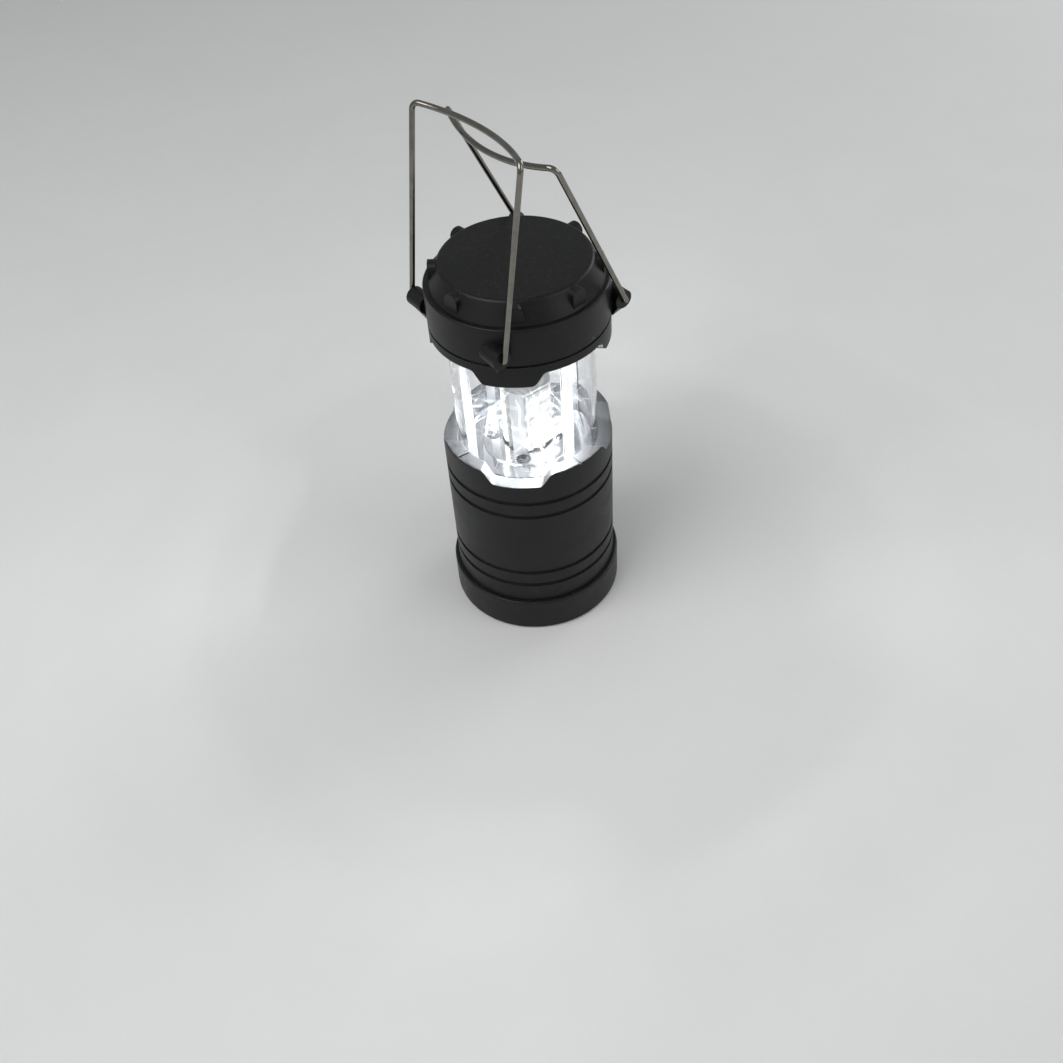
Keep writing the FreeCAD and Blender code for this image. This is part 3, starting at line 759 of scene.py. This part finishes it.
@dataclass(frozen=True)
class FloorPaint(HandledFinish):
    """Pale matt floor."""

    smudge_scale: float = 9.0
    shade_step: float = 0.012
    gloss: float = 0.15

    def wire(self, graph: Graph, surface: bpy.types.Node, shelf: EffectShelf) -> bpy.types.NodeSocket:
        """Feed the Principled node.

        Args:
            graph: The material's graph.
            surface: Its Principled node.
            shelf: The shared effects.

        Returns:
            The socket that goes to the material's output.
        """
        surface.inputs["Specular IOR Level"].default_value = self.gloss
        smudges = shelf.put(graph, Effect.SMUDGES, Scale=self.smudge_scale)
        shade = tuple(channel - self.shade_step for channel in self.colour)
        graph.feed(surface.inputs["Base Color"], graph.blend(smudges.outputs["Value"], self.colour, shade))
        graph.feed(surface.inputs["Roughness"], self.shine(graph, shelf))
        return surface.outputs["BSDF"]


BLACK = Moulded("black_plastic_body", (0.008, 0.008, 0.0082), 0.42, mottled=(0.0095, 0.0095, 0.0097),
                rubbed=(0.05, 0.05, 0.05), dust=0.1, shine_spread=0.03, gloss=0.26)
BLACK_HEAD = Moulded("black_plastic_head", (0.005, 0.005, 0.0052), 0.42, mottled=(0.006, 0.006, 0.0062),
                     rubbed=(0.05, 0.05, 0.05), dust=0.05, shine_spread=0.02, gloss=0.27)
# Painted shade: the core's grey is darkened nearly to black so the wells in it read as unlit; the same dark
# grey also dresses the battery carrier and the globe retainer.
GREY_CORE_AND_SHADE = Moulded("core_plastic_grey_and_painted_shade", (0.035, 0.035, 0.037), 0.5, mottled=(0.04, 0.04, 0.042), wear=0.2)
# Painted shade: the tower's plastic is white, but it is given a mid grey so the LEDs' glare doesn't wash it
# out.
TOWER_GREY_AS_SHADE = Moulded("tower_plastic_painted_shade", (0.28, 0.28, 0.275), 0.45, mottled=(0.26, 0.26, 0.255),
                rubbed=(0.5, 0.5, 0.48))
RUBBER = Moulded("black_rubber", (0.016, 0.016, 0.016), 0.75, mottled=(0.022, 0.022, 0.022),
                 grain_depth=0.05 * MM)
FOAM = Moulded("grey_foam", (0.09, 0.09, 0.095), 0.9, mottled=(0.14, 0.14, 0.145), grain_scale=900.0,
               grain_depth=0.3 * MM)
CLEAR = ClearMoulded("clear_globe", (0.985, 0.99, 1.0), 0.05)
SILVERED = Metal("silvered_reflector", (0.9, 0.91, 0.92), 0.06, tarnish=(0.78, 0.79, 0.81), shine_spread=0.03,
                 smudge_scale=70.0, mottle_scale=70.0, ripple_scale=90.0, ripple_depth=0.004 * MM)
# Painted reflection: the steel is given a dark olive base, and a darker tarnish, so the wire looks as if it
# mirrors dark surroundings, though the studio round it is bright.
WIRE_DARK_AS_REFLECTION = Metal("steel_wire_painted_dark_reflection", (0.24, 0.232, 0.205), 0.12, tarnish=(0.16, 0.153, 0.13), ripple_scale=700.0)
SCREW = Metal("dark_screw", (0.07, 0.07, 0.074), 0.4, tarnish=(0.045, 0.045, 0.047))
BRASS = Metal("plated_brass", (0.75, 0.6, 0.32), 0.28, tarnish=(0.6, 0.46, 0.22))
# Painted shade: the boards' solder mask and tracks are white, but they are given a mid grey so the LEDs'
# glare doesn't wash them out.
LED_BOARD_GREY_AS_SHADE = Laminate("led_board_mask_painted_shade", (0.3, 0.3, 0.29), 0.4, track=(0.25, 0.245, 0.23))
CIRCUIT = Laminate("green_circuit_board", (0.02, 0.13, 0.05), 0.35)
CERAMIC = Moulded("led_ceramic", (0.84, 0.83, 0.8), 0.4, mottled=(0.8, 0.79, 0.76), rubbed=(0.7, 0.69, 0.66),
                  dust=0.0)
PHOSPHOR = Phosphor("lit_phosphor", (0.95, 0.8, 0.3), 0.25)
FLOOR = FloorPaint("pale_floor", (0.72, 0.72, 0.71), 0.7)


class Workshop:
    """Keeps the materials and dresses pieces in them."""

    def __init__(self) -> None:
        """Start with no materials."""
        self.shelf = EffectShelf()
        self.made: dict[str, bpy.types.Material] = {}

    def material(self, finish: Finish) -> bpy.types.Material:
        """Give a finish's material, made at its first use.

        Args:
            finish: The finish.

        Returns:
            Its material.
        """
        if finish.name not in self.made:
            self.made[finish.name] = finish.material(self.shelf)
        return self.made[finish.name]

    def coat(self, node: str, finish: Finish) -> None:
        """Dress a node of the frame.

        Args:
            node: The node's name.
            finish: Its finish.
        """
        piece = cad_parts[node]
        if not piece.material_slots:
            piece.data.materials.append(None)
        for slot in piece.material_slots:
            slot.material = self.material(finish)
        log.info("%s in %s", node, finish.name)

    def piece(self, name: str, mesh: bmesh.types.BMesh, finishes: list[Finish],
              body: Body) -> bpy.types.Object:
        """Turn a built mesh into a piece that rides on a body.

        Args:
            name: The piece's name.
            mesh: The built mesh, which is freed.
            finishes: The finishes of its material slots.
            body: The body that it moves with.

        Returns:
            The new piece.
        """
        data = bpy.data.meshes.new(name)
        mesh.to_mesh(data)
        mesh.free()
        for finish in finishes:
            data.materials.append(self.material(finish))
        made = bpy.data.objects.new(name, data)
        bpy.context.scene.collection.objects.link(made)
        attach(made, body.value)
        log.info("%s built for body %s", name, body.value)
        return made


def lathed(outline: list[Vector], sides: int) -> bmesh.types.BMesh:
    """Turn an outline about Z.

    Args:
        outline: Points in the XZ plane, from the axis round to the axis.
        sides: Faces round the axis.

    Returns:
        The closed mesh, smooth.
    """
    mesh = bmesh.new()
    points = [mesh.verts.new(point) for point in outline]
    edges = [mesh.edges.new(pair) for pair in zip(points, points[1:])]
    bmesh.ops.spin(mesh, geom=points + edges, axis=(0, 0, 1), cent=(0, 0, 0), angle=math.tau, steps=sides,
                   use_merge=True)
    bmesh.ops.remove_doubles(mesh, verts=mesh.verts[:], dist=SAME_POINT)
    bmesh.ops.recalc_face_normals(mesh, faces=mesh.faces[:])
    for face in mesh.faces:
        face.smooth = True
    return mesh


def islands(node: str) -> list[list[Vector]]:
    """Find the separate solids of a node, in the same order on every run.

    Args:
        node: The node's name.

    Returns:
        The corner points of each solid.
    """
    mesh = bmesh.new()
    mesh.from_mesh(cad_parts[node].data)
    bmesh.ops.remove_doubles(mesh, verts=mesh.verts[:], dist=SAME_POINT)
    found = []
    left = dict.fromkeys(mesh.verts)
    while left:
        group: list[bmesh.types.BMVert] = []
        waiting = [left.popitem()[0]]
        while waiting:
            group.append(waiting.pop())
            near = [link.other_vert(group[-1]) for link in group[-1].link_edges]
            fresh = [point for point in near if point in left]
            for point in fresh:
                del left[point]
            waiting += fresh
        found.append([point.co.copy() for point in group])
    mesh.free()
    return found


def append(target: bmesh.types.BMesh, extra: bmesh.types.BMesh) -> None:
    """Add one mesh to another.

    Args:
        target: The mesh that grows.
        extra: The mesh that is added, and freed.
    """
    holder = bpy.data.meshes.new("holder")
    extra.to_mesh(holder)
    extra.free()
    target.from_mesh(holder)
    bpy.data.meshes.remove(holder)


@dataclass
class Assembly:
    """Pieces that are built and dressed together."""

    shop: Workshop
    finishes: dict[str, Finish] = field(default_factory=dict)

    def build(self) -> None:
        """Add the meshes that the frame doesn't have."""

    def dress(self) -> None:
        """Give every node of the assembly its finish."""
        for node, finish in self.finishes.items():
            self.shop.coat(node, finish)


@dataclass
class BaseHousing(Assembly):
    """Outer sleeve, its seal and the core inside it."""

    # The inner core's near-black colour is painted shade for its wells.
    finishes: dict[str, Finish] = field(default_factory=lambda: {
        "base_sleeve": BLACK, "globe_seal": RUBBER, "inner_core": GREY_CORE_AND_SHADE, "core_screws": SCREW})


@dataclass
class FootCap(Assembly):
    """Bayonet cap with its foot ring, gasket and the foam that steadies the battery carrier."""

    finishes: dict[str, Finish] = field(default_factory=lambda: {
        "bottom_cap": BLACK, "foot_pad": RUBBER, "cap_gasket": RUBBER})
    pad_round: float = 0.8 * MM
    pad_steps: int = 4
    pad_sides: int = 64
    pad_fill: float = 0.9

    def build(self) -> None:
        """Build the foam disc with a soft rim."""
        low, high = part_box("battery_pad")
        radius = (high.x - low.x) / 2
        outline = [Vector((0.0, 0.0, low.z))]
        for middle, start in ((low.z + self.pad_round, -QUARTER_TURN), (high.z - self.pad_round, 0.0)):
            for step in range(self.pad_steps + 1):
                turn = math.radians(start + QUARTER_TURN * step / self.pad_steps)
                across = radius - self.pad_round + self.pad_round * math.cos(turn)
                outline.append(Vector((across, 0.0, middle + self.pad_round * math.sin(turn))))
        outline.append(Vector((0.0, 0.0, high.z)))
        mesh = lathed(outline, self.pad_sides)
        pad = self.shop.piece("battery_pad_foam", mesh, [FOAM], Body.CAP)
        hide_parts("battery_pad")


@dataclass
class PowerPack(Assembly):
    """Battery carrier with its cells, contacts and circuit board."""

    finishes: dict[str, Finish] = field(default_factory=lambda: {
        "battery_carrier": GREY_CORE_AND_SHADE, "battery_terminals": BRASS, "cell_springs": BRASS,
        "cell_contacts": BRASS, "contact_rail": BRASS, "circuit_board": CIRCUIT, "board_screws": SCREW})
    cells: tuple[str, ...] = ("battery_1", "battery_2", "battery_3")
    bare_foot: float = 1.5 * MM
    bare_top: float = 2.6 * MM

    def dress(self) -> None:
        """Dress the pack, with wraps that fit the cells' heights."""
        low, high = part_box(self.cells[0])
        wrap = CellWrap("plain_cell_wrap", (0.03, 0.05, 0.09), 0.3, low=low.z + self.bare_foot,
                        high=high.z - self.bare_top)
        for cell in self.cells:
            self.finishes[cell] = wrap
        super().dress()


@dataclass
class LightEngine(Assembly):
    """LED tower, its boards and chips, and the dish that they stand in."""

    LENS_SLOT = 1

    finishes: dict[str, Finish] = field(default_factory=lambda: {
        "lower_reflector": SILVERED, "reflector_screws": SCREW, "led_tower": TOWER_GREY_AS_SHADE, "tower_screw": SCREW,
        "tower_cap": TOWER_GREY_AS_SHADE, "led_board_1": LED_BOARD_GREY_AS_SHADE, "led_board_2": LED_BOARD_GREY_AS_SHADE, "led_board_3": LED_BOARD_GREY_AS_SHADE})
    chip_nodes: tuple[str, ...] = ("led_chips_1", "led_chips_2", "led_chips_3")
    package_bevel: float = 0.18 * MM
    bevel_steps: int = 2
    facing: float = 0.99
    cup_wall: float = 0.45 * MM
    cup_depth: float = 0.3 * MM
    lens_rise: float = 0.22 * MM

    def build(self) -> None:
        """Build an array of LED packages, each with its cup and lens, for every board."""
        for number, node in enumerate(self.chip_nodes, 1):
            array = bmesh.new()
            for chip in islands(node):
                self.add_package(array, chip)
            piece = self.shop.piece(f"led_array_{number}", array, [CERAMIC, PHOSPHOR], Body.BASE)
            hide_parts(node)

    def add_package(self, array: bmesh.types.BMesh, corners: list[Vector]) -> None:
        """Add one LED package to an array.

        Args:
            array: The array's mesh.
            corners: The eight corners of the chip's solid.
        """
        middle = sum(corners, Vector()) / len(corners)
        outward = Vector((middle.x, middle.y, 0.0)).normalized()
        across = Vector((-outward.y, outward.x, 0.0))
        axes = Matrix((outward, across, Vector((0.0, 0.0, 1.0))))
        reach = [axes @ (corner - middle) for corner in corners]
        size = [2.0 * max(spot[axis] for spot in reach) for axis in range(3)]
        place = Matrix.Translation(middle) @ axes.transposed().to_4x4() @ Matrix.Diagonal((*size, 1.0))
        package = bmesh.new()
        bmesh.ops.create_cube(package, size=1.0, matrix=place)
        bmesh.ops.bevel(package, geom=package.edges[:], offset=self.package_bevel, segments=self.bevel_steps,
                        affect="EDGES")
        package.normal_update()
        front = max(package.faces,
                    key=lambda face: (face.normal.dot(outward) > self.facing, face.calc_area()))
        bmesh.ops.inset_region(package, faces=[front], thickness=self.cup_wall, depth=-self.cup_depth)
        lens = bmesh.ops.poke(package, faces=[front], offset=self.lens_rise)["faces"]
        for face in lens:
            face.material_index = self.LENS_SLOT
        append(array, package)


@dataclass
class Globe(Assembly):
    """Clear globe with the ring and the contact leaf at its foot."""

    finishes: dict[str, Finish] = field(default_factory=lambda: {
        "globe": CLEAR, "globe_retainer": GREY_CORE_AND_SHADE, "wiper_contact": BRASS})


@dataclass
class Head(Assembly):
    """Head ring with ears, crown and the silvered cone inside."""

    finishes: dict[str, Finish] = field(default_factory=lambda: {
        "head_ring": BLACK_HEAD, "top_cap": BLACK_HEAD, "upper_reflector": SILVERED, "cap_screws": SCREW})


@dataclass
class Bails(Assembly):
    """The two wire bails."""

    finishes: dict[str, Finish] = field(default_factory=lambda: {"bail_front": WIRE_DARK_AS_REFLECTION, "bail_rear": WIRE_DARK_AS_REFLECTION})


@dataclass(frozen=True)
class Softbox:
    """One area lamp, placed round the lantern from the camera's side.

    Angles are in degrees, lengths in metres and the power in watts.
    """

    name: str
    swing: float
    rise: float
    distance: float
    side: float
    power: float


@dataclass
class Studio:
    """Floor, soft light and the camera at the photograph's angle.

    Angles are in degrees, lengths in metres and the sensor's width in millimetres.
    """

    shop: Workshop
    azimuth: float = 55.0
    stand_off: float = 0.4224
    camera_height: float = 0.4528
    yaw: float = -0.26
    pitch: float = 45.2
    roll: float = -4.38
    focal_pixels: float = 1161.0
    image_pixels: float = 1063.0
    sensor: float = 36.0
    near_clip: float = 0.01
    floor_radius: float = 6.0
    floor_sides: int = 96
    sky: Colour = (0.95, 0.97, 1.0)
    sky_strength: float = 0.36
    aim_height: float = 0.12
    paint: Finish = FLOOR
    lamps: tuple[Softbox, ...] = (
        Softbox("key_softbox", -55.0, 50.0, 1.3, 0.9, 9.0),
        Softbox("fill_softbox", 65.0, 30.0, 1.5, 1.0, 5.0),
        Softbox("back_softbox", 130.0, 18.0, 1.8, 0.8, 7.0),
    )

    def build(self) -> None:
        """Build the floor, the lamps, the sky and the camera."""
        self.lay_floor()
        self.light()
        self.stand_camera()

    def lay_floor(self) -> None:
        """Lay a wide round floor under the lantern."""
        mesh = bmesh.new()
        bmesh.ops.create_circle(mesh, cap_ends=True, segments=self.floor_sides, radius=self.floor_radius)
        data = bpy.data.meshes.new("floor")
        mesh.to_mesh(data)
        mesh.free()
        data.materials.append(self.shop.material(self.paint))
        floor = bpy.data.objects.new("floor", data)
        bpy.context.scene.collection.objects.link(floor)
        log.info("floor laid")

    def light(self) -> None:
        """Hang the softboxes and set the sky."""
        world = bpy.data.worlds.new("studio")
        world.use_nodes = True
        background = world.node_tree.nodes["Background"]
        background.inputs["Color"].default_value = (*self.sky, 1.0)
        background.inputs["Strength"].default_value = self.sky_strength
        bpy.context.scene.world = world
        target = Vector((0.0, 0.0, self.aim_height))
        for lamp in self.lamps:
            data = bpy.data.lights.new(lamp.name, "AREA")
            data.size = lamp.side
            data.energy = lamp.power
            made = bpy.data.objects.new(lamp.name, data)
            bpy.context.scene.collection.objects.link(made)
            turn = math.radians(self.azimuth + lamp.swing)
            rise = math.radians(lamp.rise)
            back = Vector((math.sin(turn) * math.cos(rise), -math.cos(turn) * math.cos(rise), math.sin(rise)))
            made.location = target + back * lamp.distance
            made.rotation_mode = "QUATERNION"
            made.rotation_quaternion = (-back).to_track_quat("-Z", "Y")
            log.info("%s hung", lamp.name)

    def stand_camera(self) -> None:
        """Stand the camera where the photograph was taken."""
        yaw, pitch, roll = (math.radians(angle) for angle in (self.yaw, self.pitch, self.roll))
        forward = Vector((math.sin(yaw) * math.cos(pitch), math.cos(yaw) * math.cos(pitch), -math.sin(pitch)))
        level = Vector((math.cos(yaw), -math.sin(yaw), 0.0))
        upright = level.cross(forward)
        right = level * math.cos(roll) + upright * math.sin(roll)
        up = upright * math.cos(roll) - level * math.sin(roll)
        aim = Matrix((right, up, -forward)).transposed().to_4x4()
        spot = Matrix.Translation((0.0, -self.stand_off, self.camera_height))
        data = bpy.data.cameras.new("camera")
        data.sensor_width = self.sensor
        data.lens = self.sensor * self.focal_pixels / self.image_pixels
        data.clip_start = self.near_clip
        made = bpy.data.objects.new("camera", data)
        bpy.context.scene.collection.objects.link(made)
        made.matrix_world = Matrix.Rotation(math.radians(self.azimuth), 4, "Z") @ spot @ aim
        bpy.context.scene.camera = made
        bpy.context.scene.view_settings.view_transform = "Standard"
        log.info("camera stood")


def main() -> None:
    """Build and dress the lantern, then the studio round it."""
    logging.basicConfig(level=logging.INFO, format="%(name)s: %(message)s")
    shop = Workshop()
    for assembly in (BaseHousing, FootCap, PowerPack, LightEngine, Globe, Head, Bails):
        part = assembly(shop)
        part.build()
        part.dress()
    Studio(shop).build()


if __name__ == "__main__":
    main()
